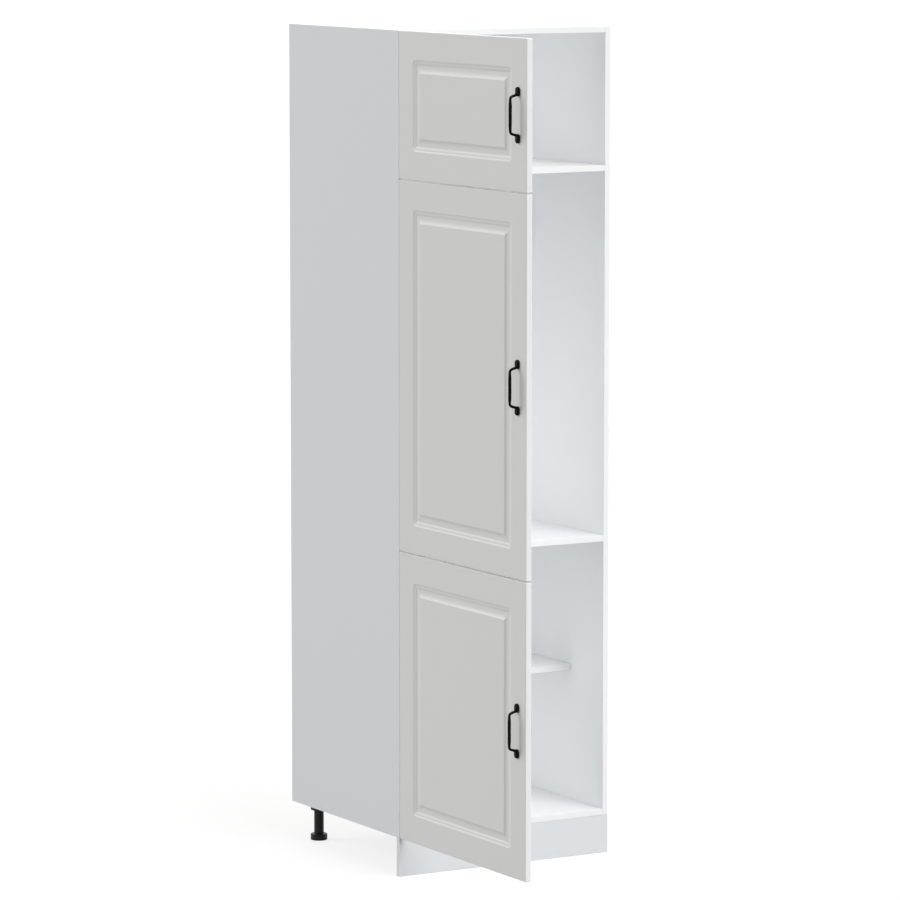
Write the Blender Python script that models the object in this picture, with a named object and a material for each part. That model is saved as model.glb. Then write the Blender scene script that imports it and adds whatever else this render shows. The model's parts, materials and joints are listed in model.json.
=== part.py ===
"""Tall kitchen cabinet with three framed doors on concealed hinges.

Metres, +Z up. The cabinet stands on its feet at z = 0, its front faces -Y, and
its doors hang on the left and stand open at a right angle, at rest. The origin
is on the floor, under the middle of the whole cabinet with its doors open.
"""

import math

import bmesh
import bpy
from mathutils import Vector

# Whole cabinet
CABINET_WIDTH = 0.600
CABINET_HEIGHT = 2.070
CABINET_DEPTH = 0.555
LEG_HEIGHT = 0.0965
BOARD = 0.015
BOARD_EDGE_RADIUS = 0.0008
FIT_GAP = 0.0003

# Shelves, the fixed ones set by the seams of the doors
LOWER_DOOR_OVERREACH = 0.001
UPPER_SHELF_REVEAL = 0.002
LOOSE_SHELF_SETBACK = 0.152
LOOSE_SHELF_SIDE_PLAY = 0.0015
LOOSE_SHELF_BACK_PLAY = 0.005

# Shelf pins
PIN_RADIUS = 0.0024
PIN_HOLE_RADIUS = 0.0027
PIN_DEPTH = 0.009
PIN_COLLAR_RADIUS = 0.0042
PIN_COLLAR = 0.0010
PIN_SEAT_RADIUS = 0.0030
PIN_SEAT_LENGTH = 0.0085
PIN_SEAT_CHAMFER = 0.0008
PIN_INSET = 0.037

# Back sheets and the strips that join them
BACK_SHEET = 0.003
REBATE_WIDTH = 0.008
STRIP_FLANGE = 0.0009
STRIP_WEB = 0.0012
STRIP_LIP = 0.009

# Plinth and its clips
PLINTH_BOARD = 0.015
PLINTH_FLOOR_GAP = 0.0005
CLIP_PLATE_WIDTH = 0.040
CLIP_PLATE = 0.003
CLIP_HEIGHT = 0.022
CLIP_WALL = 0.0024
CLIP_NECK_WIDTH = 0.012
CLIP_MOUTH_ANGLE = math.radians(100)

# Legs and feet
LEG_INSET = 0.050
LEG_PLATE_SIDE = 0.048
LEG_PLATE = 0.004
LEG_PLATE_CORNER = 0.006
LEG_RADIUS = 0.0123
LEG_COLLAR_RADIUS = 0.0210
LEG_COLLAR_HEIGHT = 0.0193
LEG_BORE_RADIUS = 0.0063
LEG_BORE_DEPTH = 0.056
FOOT_RADIUS = 0.0212
FOOT_HEIGHT = 0.016
FOOT_CHAMFER = 0.0010
SPINDLE_RADIUS = 0.0060
SPINDLE_LENGTH = 0.048

# Doors, the middle one filling what the other two leave
DOOR_BOARD = 0.015
DOOR_SIDE_REVEAL = 0.001
DOOR_FRONT_GAP = 0.003
DOOR_GAP = 0.003
LOWER_DOOR_HEIGHT = 0.7095
UPPER_DOOR_HEIGHT = 0.356
DOOR_EDGE_RADIUS = 0.0015
DOOR_CORNER_RADIUS = 0.0020
SHARPEST_CORNER = 0.0005
DOOR_OPEN_ANGLE = math.radians(-90)

# Routed moulding of a door, from its frame to its raised field
DOOR_FRAME_WIDTH = 0.073
MOULDING_WIDTH = 0.0315
MOULDING_DEPTH = 0.004
MOULDING_CORNER_RADIUS = 0.009

# Bow handle
HANDLE_LENGTH = 0.1305
HANDLE_EDGE_DISTANCE = 0.038
HANDLE_SCREW_DISTANCE = 0.096
HANDLE_REACH = 0.0220
HANDLE_GRIP_RADIUS = 0.0040
HANDLE_ARM_RADIUS = 0.0032
HANDLE_BEND_RADIUS = 0.010
HANDLE_SHOULDER = 0.0415
HANDLE_SWELL_END = 0.037
HANDLE_SWELL_START = 0.022
HANDLE_PAD_LENGTH = 0.0220
HANDLE_PAD_WIDTH = 0.0155
HANDLE_PAD_HEIGHT = 0.0062
HANDLE_ROOT_HEIGHT = 0.0012

# Concealed hinge: the pivot's place in the door, and the cup
PIVOT_FROM_DOOR_EDGE = 0.0071
PIVOT_FROM_DOOR_BACK = 0.0060
HINGE_END_DISTANCE = 0.100
CUP_BORE_RADIUS = 0.0175
CUP_BORE_DEPTH = 0.0115
CUP_EDGE_DISTANCE = 0.0035
CUP_WALL = 0.0009
CUP_FLANGE = 0.0010
CUP_FLANGE_RADIUS = 0.0185
CUP_WING = 0.0008
CUP_WING_LENGTH = 0.062
CUP_WING_WIDTH = 0.016
CUP_WING_SHIFT = 0.0065
CUP_WING_CORNER = 0.006
CUP_PIN_RADIUS = 0.0007

# Concealed hinge: the arm and its mounting plate
PLATE_CENTRE_DEPTH = 0.037
PLATE_WING_LENGTH = 0.052
PLATE_WING_WIDTH = 0.018
PLATE_WING = 0.0020
PLATE_WING_CORNER = 0.007
PLATE_RIDGE_LENGTH = 0.046
PLATE_RIDGE_WIDTH = 0.0140
PLATE_RIDGE_HEIGHT = 0.0080
PLATE_RIDGE_CORNER = 0.0008
ARM_START_DEPTH = 0.011
ARM_LENGTH = 0.062
ARM_WALL = 0.0012
ARM_NECK_WALL = 0.0010
ARM_NECK_WIDTH = 0.010
ARM_STANDOFF = 0.0030
ARM_BEND_RADIUS = 0.0020
ARM_KNUCKLE_RADIUS = 0.0016
ARM_KNUCKLE_LENGTH = 0.007

# Roundness
SMOOTH_ANGLE = math.radians(35)
QUARTER_TURN = math.radians(90)
ARC_STEPS = 3
PIN_SIDES = 12
LEG_SIDES = 24
CUP_SIDES = 24
CLIP_ARC_STEPS = 10
HANDLE_SIDES = 8
PAD_ARC_STEPS = 6
OVERRUN = 0.002

# Places worked out from the sizes above
HALF_WIDTH = CABINET_WIDTH / 2
INNER_HALF = HALF_WIDTH - BOARD
PIVOT_X = -HALF_WIDTH + DOOR_SIDE_REVEAL + PIVOT_FROM_DOOR_EDGE
PIVOT_Y = -DOOR_FRONT_GAP - PIVOT_FROM_DOOR_BACK
DOOR_WIDTH = CABINET_WIDTH - 2 * DOOR_SIDE_REVEAL
OPEN_DOOR_REACH = DOOR_WIDTH - PIVOT_FROM_DOOR_EDGE - PIVOT_Y
HANDLE_PROJECTION = FIT_GAP + HANDLE_REACH + HANDLE_GRIP_RADIUS
BACK_OUTSET = STRIP_FLANGE + FIT_GAP
SHEET_REAR = CABINET_DEPTH - BACK_OUTSET
SHEET_FRONT = SHEET_REAR - BACK_SHEET
SHELF_REAR = SHEET_FRONT - 2 * FIT_GAP - STRIP_FLANGE
BOTTOM_TOP = LEG_HEIGHT + BOARD
LOWER_DOOR_TOP = LEG_HEIGHT + LOWER_DOOR_HEIGHT
UPPER_DOOR_BOTTOM = CABINET_HEIGHT - UPPER_DOOR_HEIGHT
MIDDLE_DOOR_TOP = UPPER_DOOR_BOTTOM - DOOR_GAP
MIDDLE_SHELF_TOP = LOWER_DOOR_TOP - LOWER_DOOR_OVERREACH
UPPER_SHELF_TOP = MIDDLE_DOOR_TOP + UPPER_SHELF_REVEAL + BOARD
LOOSE_SHELF_TOP = (BOTTOM_TOP + MIDDLE_SHELF_TOP) / 2
DOOR_BACK = PIVOT_FROM_DOOR_BACK
DOOR_FACE = DOOR_BACK - DOOR_BOARD
DOOR_HINGE_EDGE = -PIVOT_FROM_DOOR_EDGE
OPEN_HANDLE_FRONT = PIVOT_X + DOOR_FACE - HANDLE_PROJECTION

for leftover in list(bpy.data.objects):
    bpy.data.objects.remove(leftover, do_unlink=True)


def finish(name, colour, roughness, metallic):
    """A plain Principled material, made once for each name."""
    if name in bpy.data.materials:
        return bpy.data.materials[name]
    material = bpy.data.materials.new(name)
    material.use_nodes = True
    shader = material.node_tree.nodes["Principled BSDF"]
    shader.inputs["Base Color"].default_value = (*colour, 1)
    shader.inputs["Roughness"].default_value = roughness
    shader.inputs["Metallic"].default_value = metallic
    material.diffuse_color = (*colour, 1)
    return material


def white_melamine():
    return finish("white_melamine", (0.80, 0.80, 0.79), 0.45, 0)


def white_foil():
    return finish("white_foil", (0.79, 0.79, 0.77), 0.38, 0)


def white_hardboard():
    return finish("white_hardboard", (0.76, 0.76, 0.75), 0.6, 0)


def white_plastic():
    return finish("white_plastic", (0.78, 0.78, 0.76), 0.5, 0)


def black_lacquer():
    return finish("black_lacquer", (0.012, 0.012, 0.013), 0.32, 0)


def black_plastic():
    return finish("black_plastic", (0.02, 0.02, 0.021), 0.55, 0)


def nickel_steel():
    return finish("nickel_steel", (0.66, 0.65, 0.63), 0.28, 1)


def guide(name, place, parent, turn=0):
    """An empty that carries pieces, such as a door on its hinge axis."""
    empty = bpy.data.objects.new(name, None)
    bpy.context.scene.collection.objects.link(empty)
    empty.location = place
    empty.rotation_euler = (0, 0, turn)
    empty.parent = parent
    return empty


def piece(name, form, material, parent, place=(0, 0, 0), smooth=False):
    """An object from a finished bmesh, its faces turned outward."""
    bmesh.ops.recalc_face_normals(form, faces=form.faces)
    mesh = bpy.data.meshes.new(name)
    form.to_mesh(mesh)
    form.free()
    if smooth:
        mesh.shade_smooth()
        mesh.set_sharp_from_angle(angle=SMOOTH_ANGLE)
    mesh.materials.append(material)
    made = bpy.data.objects.new(name, mesh)
    bpy.context.scene.collection.objects.link(made)
    made.location = place
    made.parent = parent
    return made


def combine(target, tool, operation):
    """Joins or cuts the target with a tool that isn't a piece itself."""
    modifier = target.modifiers.new(tool.name, "BOOLEAN")
    modifier.operation = operation
    modifier.solver = "EXACT"
    modifier.object = tool
    tool.hide_render = True
    tool.display_type = "WIRE"


def round_corners(corners, radii, steps=ARC_STEPS, closed=True):
    """Replaces each corner of a flat outline by an arc of its radius."""
    points = []
    count = len(corners)
    for index, (corner, radius) in enumerate(zip(corners, radii)):
        here = Vector(corner)
        at_end = not closed and index in (0, count - 1)
        if radius == 0 or at_end:
            points.append(here)
            continue
        back = (Vector(corners[index - 1]) - here).normalized()
        ahead = (Vector(corners[(index + 1) % count]) - here).normalized()
        half_angle = back.angle(ahead) / 2
        run = radius / math.tan(half_angle)
        centre = here + (back + ahead).normalized() * radius / math.sin(half_angle)
        start = (here + back * run - centre).normalized()
        end = (here + ahead * run - centre).normalized()
        for step in range(steps + 1):
            points.append(centre + radius * start.slerp(end, step / steps))
    return points


def rectangle(low, high, radius, steps=ARC_STEPS):
    """The outline of a rectangle with all its corners rounded alike."""
    corners = [(low[0], low[1]), (high[0], low[1]), (high[0], high[1]), (low[0], high[1])]
    return round_corners(corners, [radius] * 4, steps)


def along(axis, flat, height):
    """A point from its place on an outline and its height along an axis."""
    first, second = flat
    places = {"x": (height, first, second), "y": (first, height, second), "z": (first, second, height)}
    return Vector(places[axis])


def loft(rings):
    """A closed form through rings of equally many points, capped at both ends."""
    form = bmesh.new()
    loops = [[form.verts.new(point) for point in ring] for ring in rings]
    count = len(loops[0])
    for lower, upper in zip(loops, loops[1:]):
        for index in range(count):
            following = (index + 1) % count
            form.faces.new((lower[index], lower[following], upper[following], upper[index]))
    form.faces.new(list(reversed(loops[0])))
    form.faces.new(loops[-1])
    return form


def prism(outline, axis, start, end):
    """A flat outline drawn out along an axis."""
    return loft([[along(axis, flat, height) for flat in outline] for height in (start, end)])


def turned(axis, profile, sides, centre=(0, 0)):
    """A profile of (radius, height) pairs, from the axis back to the axis, turned round it."""
    form = bmesh.new()
    loops = []
    for radius, height in profile:
        if radius == 0:
            loops.append([form.verts.new(along(axis, centre, height))])
            continue
        ring = []
        for side in range(sides):
            angle = math.tau * side / sides
            flat = (centre[0] + radius * math.cos(angle), centre[1] + radius * math.sin(angle))
            ring.append(form.verts.new(along(axis, flat, height)))
        loops.append(ring)
    for lower, upper in zip(loops, loops[1:]):
        for side in range(sides):
            following = (side + 1) % sides
            corners = [lower[side % len(lower)], lower[following % len(lower)],
                       upper[following % len(upper)], upper[side % len(upper)]]
            unique = list(dict.fromkeys(corners))
            form.faces.new(unique)
    return form


# Carcass boards

def side_panel(name, side, parent):
    """An upright board, rounded at its front, with a rebate for the back sheets."""
    outer = side * HALF_WIDTH
    inner = side * INNER_HALF
    rebate_edge = side * (INNER_HALF + REBATE_WIDTH)
    rebate_floor = SHEET_FRONT - FIT_GAP
    corners = [(outer, 0), (inner, 0), (inner, rebate_floor), (rebate_edge, rebate_floor),
               (rebate_edge, CABINET_DEPTH), (outer, CABINET_DEPTH)]
    radii = [BOARD_EDGE_RADIUS, BOARD_EDGE_RADIUS, 0, 0, 0, 0]
    outline = round_corners(corners, radii)
    form = prism(outline, "z", LEG_HEIGHT, CABINET_HEIGHT)
    panel = piece(name, form, white_melamine(), parent)
    for row, depth in pin_rows().items():
        hole = pin_hole(f"{name}_{row}_hole", side, depth, parent)
        combine(panel, hole, "DIFFERENCE")
    return panel


def cross_board(name, top, rear, front, half_length, parent):
    """A level board between the side panels, rounded along its front edge."""
    low = top - BOARD
    corners = [(front, low), (rear, low), (rear, top), (front, top)]
    outline = round_corners(corners, [BOARD_EDGE_RADIUS, 0, 0, BOARD_EDGE_RADIUS])
    form = prism(outline, "x", -half_length, half_length)
    return piece(name, form, white_melamine(), parent)


def fixed_boards(parent):
    """The top, the bottom and the two shelves that tie the side panels together."""
    half_length = INNER_HALF - FIT_GAP
    board_rear = SHEET_FRONT - FIT_GAP
    cross_board("top_panel", CABINET_HEIGHT, board_rear, 0, half_length, parent)
    cross_board("upper_shelf", UPPER_SHELF_TOP, SHELF_REAR, 0, half_length, parent)
    cross_board("middle_shelf", MIDDLE_SHELF_TOP, SHELF_REAR, 0, half_length, parent)
    cross_board("bottom_panel", BOTTOM_TOP, board_rear, 0, half_length, parent)


# Loose shelf and its pins

def pin_rows():
    """How far back the front and rear shelf pins stand."""
    front = LOOSE_SHELF_SETBACK + PIN_INSET
    rear = SHELF_REAR - LOOSE_SHELF_BACK_PLAY - PIN_INSET
    return {"front": front, "rear": rear}


def pin_height():
    return LOOSE_SHELF_TOP - BOARD - FIT_GAP - PIN_SEAT_RADIUS


def pin_hole(name, side, depth, parent):
    """The bore that a shelf pin is pushed into."""
    mouth = side * (INNER_HALF - OVERRUN)
    floor = side * (INNER_HALF + PIN_DEPTH + FIT_GAP)
    profile = [(0, mouth), (PIN_HOLE_RADIUS, mouth), (PIN_HOLE_RADIUS, floor), (0, floor)]
    form = turned("x", profile, PIN_SIDES, (depth, pin_height()))
    return piece(name, form, white_melamine(), parent)


def shelf_pin(name, side, depth, parent):
    """A steel pin: its shank in the board, a thin collar, and the seat under the shelf."""
    collar_start = INNER_HALF - FIT_GAP
    collar_end = collar_start - PIN_COLLAR
    tip = collar_end - PIN_SEAT_LENGTH
    shank = INNER_HALF + PIN_DEPTH
    profile = [(0, shank), (PIN_RADIUS, shank), (PIN_RADIUS, collar_start),
               (PIN_COLLAR_RADIUS, collar_start), (PIN_COLLAR_RADIUS, collar_end),
               (PIN_SEAT_RADIUS, collar_end), (PIN_SEAT_RADIUS, tip + PIN_SEAT_CHAMFER),
               (PIN_SEAT_RADIUS - PIN_SEAT_CHAMFER, tip), (0, tip)]
    placed = [(radius, side * distance) for radius, distance in profile]
    form = turned("x", placed, PIN_SIDES, (depth, pin_height()))
    return piece(name, form, nickel_steel(), parent, smooth=True)


def loose_shelf(parent):
    """The lift-out shelf of the lower compartment, on four pins."""
    rear = SHELF_REAR - LOOSE_SHELF_BACK_PLAY
    half_length = INNER_HALF - LOOSE_SHELF_SIDE_PLAY
    cross_board("adjustable_shelf", LOOSE_SHELF_TOP, rear, LOOSE_SHELF_SETBACK, half_length, parent)
    for row, depth in pin_rows().items():
        shelf_pin(f"shelf_pin_{row}_left", -1, depth, parent)
        shelf_pin(f"shelf_pin_{row}_right", 1, depth, parent)


# Back of the carcass

def back_seams():
    """The heights where two back sheets meet, behind the fixed shelves."""
    return [MIDDLE_SHELF_TOP - BOARD / 2, UPPER_SHELF_TOP - BOARD / 2]


def back_sheet(name, low, high, parent):
    """A thin sheet that lies in the rebates of both side panels."""
    half_length = INNER_HALF + REBATE_WIDTH - FIT_GAP
    outline = [(-half_length, low), (half_length, low), (half_length, high), (-half_length, high)]
    form = prism(outline, "y", SHEET_FRONT, SHEET_REAR)
    return piece(name, form, white_hardboard(), parent)


def seam_strip(name, height, parent):
    """A strip of H section that holds the edges of two back sheets."""
    half_length = INNER_HALF - FIT_GAP
    front = SHEET_FRONT - FIT_GAP
    rear = SHEET_REAR + FIT_GAP
    web = STRIP_WEB / 2
    half = [(front - STRIP_FLANGE, -STRIP_LIP), (front, -STRIP_LIP), (front, -web),
            (rear, -web), (rear, -STRIP_LIP), (rear + STRIP_FLANGE, -STRIP_LIP)]
    mirrored = [(depth, -offset) for depth, offset in reversed(half)]
    outline = [(depth, height + offset) for depth, offset in half + mirrored]
    form = prism(outline, "x", -half_length, half_length)
    return piece(name, form, white_plastic(), parent)


def cabinet_back(parent):
    """Three sheets, one behind each compartment, joined by two strips."""
    seam = STRIP_WEB / 2 + FIT_GAP
    lower_seam, upper_seam = back_seams()
    back_sheet("back_panel_lower", LEG_HEIGHT, lower_seam - seam, parent)
    back_sheet("back_panel_middle", lower_seam + seam, upper_seam - seam, parent)
    back_sheet("back_panel_upper", upper_seam + seam, CABINET_HEIGHT, parent)
    seam_strip("back_strip_lower", lower_seam, parent)
    seam_strip("back_strip_upper", upper_seam, parent)


# Legs, feet and plinth

def leg_places():
    """The middle of each leg, by the corner that it stands under."""
    across = HALF_WIDTH - LEG_INSET
    rear = CABINET_DEPTH - LEG_INSET
    return {"front_left": (-across, LEG_INSET), "front_right": (across, LEG_INSET),
            "rear_left": (-across, rear), "rear_right": (across, rear)}


def leg(name, place, parent):
    """A plastic leg: a square plate, a collar, a straight tube and a bore for the foot's spindle."""
    low = FOOT_HEIGHT
    high = LEG_HEIGHT - FIT_GAP - LEG_PLATE / 2
    collar = LEG_HEIGHT - LEG_COLLAR_HEIGHT
    bore_top = low + LEG_BORE_DEPTH
    profile = [(0, high), (LEG_COLLAR_RADIUS, high), (LEG_COLLAR_RADIUS, collar + FOOT_CHAMFER),
               (LEG_COLLAR_RADIUS - FOOT_CHAMFER, collar), (LEG_RADIUS, collar), (LEG_RADIUS, low),
               (LEG_BORE_RADIUS, low), (LEG_BORE_RADIUS, bore_top), (0, bore_top)]
    made = piece(name, turned("z", profile, LEG_SIDES), black_plastic(), parent, (*place, 0), smooth=True)
    half = LEG_PLATE_SIDE / 2
    outline = rectangle((-half, -half), (half, half), LEG_PLATE_CORNER)
    plate_form = prism(outline, "z", LEG_HEIGHT - FIT_GAP - LEG_PLATE, LEG_HEIGHT - FIT_GAP)
    combine(made, piece(f"{name}_plate_tool", plate_form, black_plastic(), parent, (*place, 0)), "UNION")
    return made


def foot(name, place, parent):
    """A levelling foot: a drum on the floor and the spindle that turns in the leg."""
    top = FOOT_HEIGHT - FIT_GAP
    tip = top + SPINDLE_LENGTH
    profile = [(0, 0), (FOOT_RADIUS - FOOT_CHAMFER, 0), (FOOT_RADIUS, FOOT_CHAMFER),
               (FOOT_RADIUS, top - FOOT_CHAMFER), (FOOT_RADIUS - FOOT_CHAMFER, top),
               (SPINDLE_RADIUS, top), (SPINDLE_RADIUS, tip - FOOT_CHAMFER),
               (SPINDLE_RADIUS - FOOT_CHAMFER, tip), (0, tip)]
    form = turned("z", profile, LEG_SIDES)
    return piece(name, form, black_plastic(), parent, (*place, 0), smooth=True)


def legs_and_feet(parent):
    """Four legs under the bottom panel, each on its own screw foot."""
    for corner, place in leg_places().items():
        leg(f"leg_{corner}", place, parent)
        axis = guide(f"foot_axis_{corner}", (*place, 0), parent)
        foot(f"foot_{corner}", (0, 0), axis)


def plinth(parent):
    """The board that closes the gap under the cabinet, flush with the carcass front."""
    low = PLINTH_FLOOR_GAP
    high = LEG_HEIGHT - FIT_GAP
    corners = [(0, low), (PLINTH_BOARD, low), (PLINTH_BOARD, high), (0, high)]
    outline = round_corners(corners, [BOARD_EDGE_RADIUS, 0, 0, BOARD_EDGE_RADIUS])
    form = prism(outline, "x", -HALF_WIDTH, HALF_WIDTH)
    return piece("plinth", form, white_foil(), parent)


def arc(centre, radius, start, end, steps):
    """Points on an arc, from one angle to another."""
    angles = [start + (end - start) * step / steps for step in range(steps + 1)]
    return [(centre[0] + radius * math.cos(angle), centre[1] + radius * math.sin(angle)) for angle in angles]


def plinth_clip(name, place, parent):
    """A spring clip on the back of the plinth that grips the tube of a front leg."""
    across = place[0]
    middle = (FOOT_HEIGHT + LEG_HEIGHT) / 2
    inner = LEG_RADIUS + 2 * FIT_GAP
    outer = inner + CLIP_WALL
    plate_front = PLINTH_BOARD + FIT_GAP
    plate_rear = plate_front + CLIP_PLATE
    half_plate = CLIP_PLATE_WIDTH / 2
    half_neck = CLIP_NECK_WIDTH / 2
    neck_angle = math.asin(half_neck / outer)
    mouth = CLIP_MOUTH_ANGLE / 2
    front = -QUARTER_TURN
    mouth_right = QUARTER_TURN - mouth
    mouth_left = -3 * QUARTER_TURN + mouth
    right_side = arc(place, outer, front + neck_angle, mouth_right, CLIP_ARC_STEPS)
    inside = arc(place, inner, mouth_right, mouth_left, 2 * CLIP_ARC_STEPS)
    left_side = arc(place, outer, mouth_left, front - neck_angle, CLIP_ARC_STEPS)
    outline = [(across - half_plate, plate_front), (across + half_plate, plate_front),
               (across + half_plate, plate_rear), (across + half_neck, plate_rear)]
    outline += right_side + inside + left_side
    outline += [(across - half_neck, plate_rear), (across - half_plate, plate_rear)]
    form = prism(outline, "z", middle - CLIP_HEIGHT / 2, middle + CLIP_HEIGHT / 2)
    return piece(name, form, black_plastic(), parent)


def plinth_clips(parent):
    places = leg_places()
    plinth_clip("plinth_clip_left", places["front_left"], parent)
    plinth_clip("plinth_clip_right", places["front_right"], parent)


# Doors, drawn closed about their hinge axis and then swung open

def door_spans():
    """The bottom and top edge of each door."""
    return {"lower": (LEG_HEIGHT, LOWER_DOOR_TOP),
            "middle": (LOWER_DOOR_TOP + DOOR_GAP, MIDDLE_DOOR_TOP),
            "upper": (UPPER_DOOR_BOTTOM, CABINET_HEIGHT)}


def hinge_heights(low, high):
    return {"bottom": low + HINGE_END_DISTANCE, "top": high - HINGE_END_DISTANCE}


def door_ring(low, high, inset, depth, corner):
    """One rounded rectangle round the door, inset from its edges, at a depth."""
    left = DOOR_HINGE_EDGE + inset
    right = DOOR_HINGE_EDGE + DOOR_WIDTH - inset
    radius = max(corner, SHARPEST_CORNER)
    outline = rectangle((left, low + inset), (right, high - inset), radius)
    return [along("y", flat, depth) for flat in outline]


def edge_rounding():
    """Inset and depth steps of a quarter round, from the flat of the edge to the face."""
    steps = []
    for step in range(ARC_STEPS):
        angle = QUARTER_TURN * step / (ARC_STEPS - 1)
        steps.append((DOOR_EDGE_RADIUS * (1 - math.cos(angle)), DOOR_EDGE_RADIUS * (1 - math.sin(angle))))
    return steps


def moulding_steps():
    """Two stepped beads, a flat floor and a hollow bevel up to the raised field."""
    width_depth_shares = [(0, 0), (0.03, 0.28), (0.13, 0.32), (0.235, 0.46), (0.27, 0.88), (0.34, 1),
                          (0.70, 1), (0.86, 0.66), (0.98, 0.14), (1, 0.03)]
    return [(MOULDING_WIDTH * width, MOULDING_DEPTH * depth) for width, depth in width_depth_shares]


def door(name, low, high, parent):
    """A routed board with rounded edges, and blind bores for the hinge cups."""
    rings = []
    for inset, depth in reversed(edge_rounding()):
        rings.append(door_ring(low, high, inset, DOOR_BACK - depth, DOOR_CORNER_RADIUS - inset))
    for inset, depth in edge_rounding():
        rings.append(door_ring(low, high, inset, DOOR_FACE + depth, DOOR_CORNER_RADIUS - inset))
    for offset, depth in moulding_steps():
        inset = DOOR_FRAME_WIDTH + offset
        rings.append(door_ring(low, high, inset, DOOR_FACE + depth, MOULDING_CORNER_RADIUS - offset))
    made = piece(name, loft(rings), white_foil(), parent, smooth=True)
    for end, height in hinge_heights(low, high).items():
        combine(made, cup_bore(f"{name}_{end}_bore", height, parent), "DIFFERENCE")
    return made


def cup_centre():
    """How far the middle of a hinge cup stands from the hinge axis, across the door."""
    return DOOR_HINGE_EDGE + CUP_EDGE_DISTANCE + CUP_BORE_RADIUS


def cup_bore(name, height, parent):
    """The blind bore for a hinge cup, open at the door's inner face."""
    mouth = DOOR_BACK + OVERRUN
    floor = DOOR_BACK - CUP_BORE_DEPTH
    profile = [(0, mouth), (CUP_BORE_RADIUS, mouth), (CUP_BORE_RADIUS, floor), (0, floor)]
    return piece(name, turned("y", profile, CUP_SIDES, (cup_centre(), height)), white_foil(), parent)


# Bow handle

def handle_half_path():
    """Places (reach from the door, height) from a pad to the middle of the grip."""
    root = (HANDLE_ROOT_HEIGHT, HANDLE_SCREW_DISTANCE / 2)
    corners = [root, (HANDLE_REACH, HANDLE_SHOULDER), (HANDLE_REACH, 0)]
    bend = round_corners(corners, [0, HANDLE_BEND_RADIUS, 0], ARC_STEPS, closed=False)
    last = bend[-2]
    grip_shares = [0.9, 0.78, 0.66, 0.5, 0.25]
    grip = [Vector((HANDLE_REACH, last.y * share)) for share in grip_shares]
    return bend[:-1] + grip + bend[-1:]


def handle_radius(height):
    """The rod's radius, thick along the grip and slim at its bends and arms."""
    taper = (abs(height) - HANDLE_SWELL_START) / (HANDLE_SWELL_END - HANDLE_SWELL_START)
    taper = min(max(taper, 0), 1)
    ease = taper * taper * (3 - 2 * taper)
    return HANDLE_GRIP_RADIUS + (HANDLE_ARM_RADIUS - HANDLE_GRIP_RADIUS) * ease


def handle_rod():
    """A round rod of changing thickness along the bow."""
    half = handle_half_path()
    path = half + [Vector((place.x, -place.y)) for place in reversed(half[:-1])]
    rings = []
    for index, place in enumerate(path):
        before = path[max(index - 1, 0)]
        after = path[min(index + 1, len(path) - 1)]
        run = (after - before).normalized()
        radius = handle_radius(place.y)
        ring = []
        for side in range(HANDLE_SIDES):
            angle = math.tau * side / HANDLE_SIDES
            outward = radius * math.cos(angle)
            reach = place.x - run.y * outward
            height = place.y + run.x * outward
            ring.append(Vector((radius * math.sin(angle), -reach, height)))
        rings.append(ring)
    return loft(rings)


def handle_pad(end):
    """A domed foot with round ends that meets the door."""
    middle = end * (HANDLE_LENGTH - HANDLE_PAD_LENGTH) / 2
    straight = (HANDLE_PAD_LENGTH - HANDLE_PAD_WIDTH) / 2
    size_height_shares = [(1, 0), (1, 0.55), (0.93, 0.8), (0.78, 0.94), (0.5, 1)]
    rings = []
    for size, height in size_height_shares:
        radius = HANDLE_PAD_WIDTH / 2 * size
        upper = arc((0, middle + straight), radius, 0, math.pi, PAD_ARC_STEPS)
        lower = arc((0, middle - straight), radius, math.pi, math.tau, PAD_ARC_STEPS)
        rings.append([along("y", flat, -HANDLE_PAD_HEIGHT * height) for flat in upper + lower])
    return loft(rings)


def handle(name, low, high, parent):
    """The bow and its two feet, in one casting, near the door's free edge."""
    across = DOOR_HINGE_EDGE + DOOR_WIDTH - HANDLE_EDGE_DISTANCE
    place = (across, DOOR_FACE - FIT_GAP, (low + high) / 2)
    made = piece(name, handle_rod(), black_lacquer(), parent, place, smooth=True)
    for end, label in ((1, "top"), (-1, "bottom")):
        pad = piece(f"{name}_{label}_tool", handle_pad(end), black_lacquer(), parent, place)
        combine(made, pad, "UNION")
    return made


# Concealed hinges

def cup_pin(name, inner, parent, place):
    """The pin across the cup, on the hinge axis, with its ends in the cup's wall."""
    half_length = math.sqrt(inner ** 2 - cup_centre() ** 2) + CUP_WALL / 2
    profile = [(0, -half_length), (CUP_PIN_RADIUS, -half_length),
               (CUP_PIN_RADIUS, half_length), (0, half_length)]
    form = turned("z", profile, PIN_SIDES, (-cup_centre(), 0))
    return piece(name, form, nickel_steel(), parent, place)


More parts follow.
